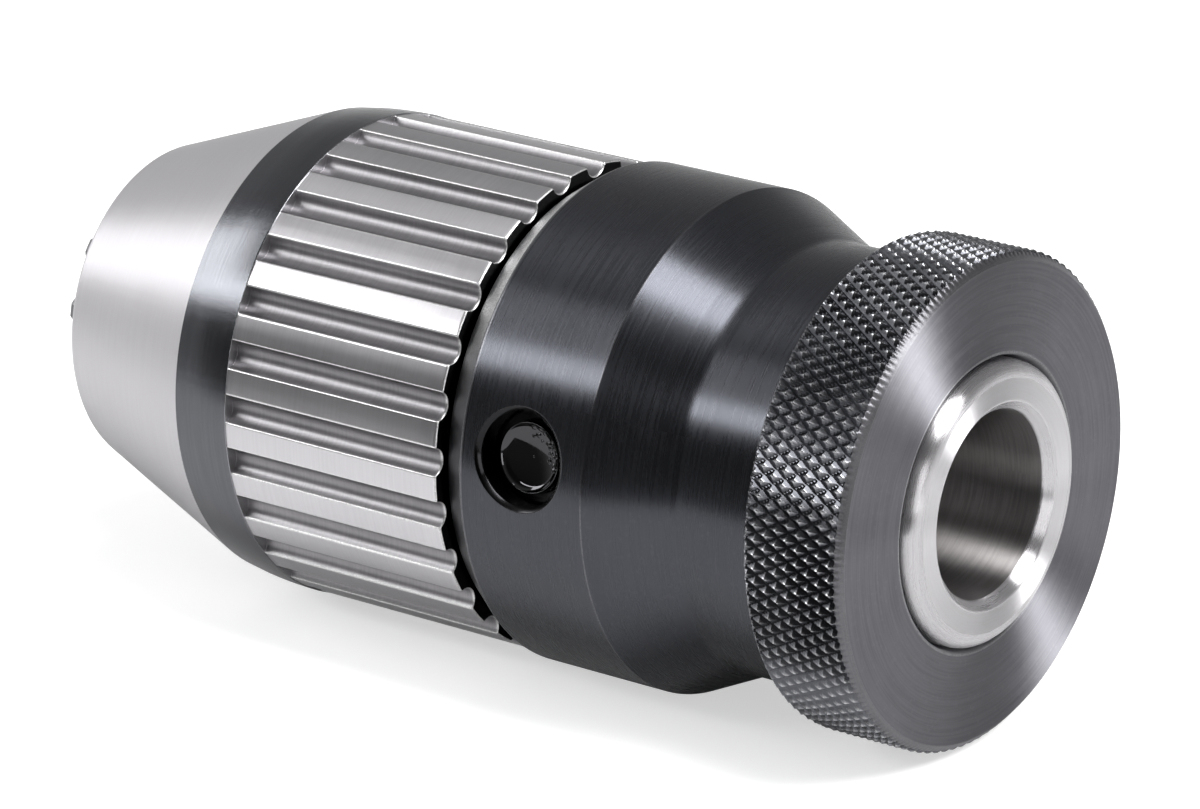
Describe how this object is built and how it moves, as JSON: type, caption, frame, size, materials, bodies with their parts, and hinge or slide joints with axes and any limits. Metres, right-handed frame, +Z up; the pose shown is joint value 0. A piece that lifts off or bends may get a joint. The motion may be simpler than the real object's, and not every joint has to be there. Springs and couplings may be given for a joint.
{
  "type": "keyless drill chuck",
  "caption": "Keyless drill chuck: a fluted hood and black sleeve turn on a taper-socket hub with a knurled holding ring, and feed sloping jaws in and out of the nose.",
  "frame": {"origin": "centre of the taper socket's mouth, on the hub's rear face", "axes": "+X out of the socket along the chuck's axis, away from the nose; +Z up as the chuck lies in the picture"},
  "size_m": [0.094, 0.043, 0.043],
  "materials": {
    "ground_steel": "fine ground",
    "black_sleeve": "black oxide, oiled",
    "black_knurl": "black oxide, knurled",
    "hub_steel": "ground",
    "guide_steel": "turned",
    "jaw_steel": "hardened, ground",
    "spindle_steel": "turned",
    "screw_steel": "black oxide, oiled",
    "cage_brass": "turned",
    "ball_steel": "polished"
  },
  "bodies": {
    "body": {"hub": "hub_steel", "knurled_ring": "black_knurl"},
    "casing": {"sleeve": "black_sleeve", "hood": "ground_steel", "jaw_guide": "guide_steel", "lock_screw": "screw_steel"},
    "spindle": {"spindle": "spindle_steel"},
    "jaw_1": {"jaw_1": "jaw_steel"},
    "jaw_2": {"jaw_2": "jaw_steel"},
    "jaw_3": {"jaw_3": "jaw_steel"},
    "bearing": {"ball_cage": "cage_brass", "ball_01": "ball_steel", "ball_02": "ball_steel", "ball_03": "ball_steel", "ball_04": "ball_steel", "ball_05": "ball_steel", "ball_06": "ball_steel", "ball_07": "ball_steel", "ball_08": "ball_steel", "ball_09": "ball_steel", "ball_10": "ball_steel", "ball_11": "ball_steel", "ball_12": "ball_steel", "ball_13": "ball_steel", "ball_14": "ball_steel", "ball_15": "ball_steel", "ball_16": "ball_steel"}
  },
  "joints": [
    {"name": "casing_turn", "type": "hinge", "parent": "body", "child": "casing", "pos_m": [-0.04, 0, 0], "axis": [1, 0, 0], "range_deg": [-1153, 379]},
    {"name": "spindle_feed", "type": "slide", "parent": "casing", "child": "spindle", "axis": [-1, 0, 0], "range_m": [-0.00962, 0.00317]},
    {"name": "bearing_turn", "type": "hinge", "parent": "body", "child": "bearing", "pos_m": [-0.023, 0, 0], "axis": [1, 0, 0], "range_deg": [-577.5, 190.5]},
    {"name": "jaw_1_slide", "type": "slide", "parent": "casing", "child": "jaw_1", "axis": [-0.9397, 0.0298, -0.3407], "range_m": [-0.01023, 0.00337]},
    {"name": "jaw_2_slide", "type": "slide", "parent": "casing", "child": "jaw_2", "axis": [-0.9397, 0.2802, 0.1962], "range_m": [-0.01023, 0.00337]},
    {"name": "jaw_3_slide", "type": "slide", "parent": "casing", "child": "jaw_3", "axis": [-0.9397, -0.31, 0.1445], "range_m": [-0.01023, 0.00337]}
  ],
  "couplings": [
    {"joint": "spindle_feed", "follows": "casing_turn", "m_per_rad": 0.00047746},
    {"joint": "bearing_turn", "follows": "casing_turn", "ratio": 0.5},
    {"joint": "jaw_1_slide", "follows": "casing_turn", "m_per_rad": 0.00050811},
    {"joint": "jaw_2_slide", "follows": "casing_turn", "m_per_rad": 0.00050811},
    {"joint": "jaw_3_slide", "follows": "casing_turn", "m_per_rad": 0.00050811}
  ]
}
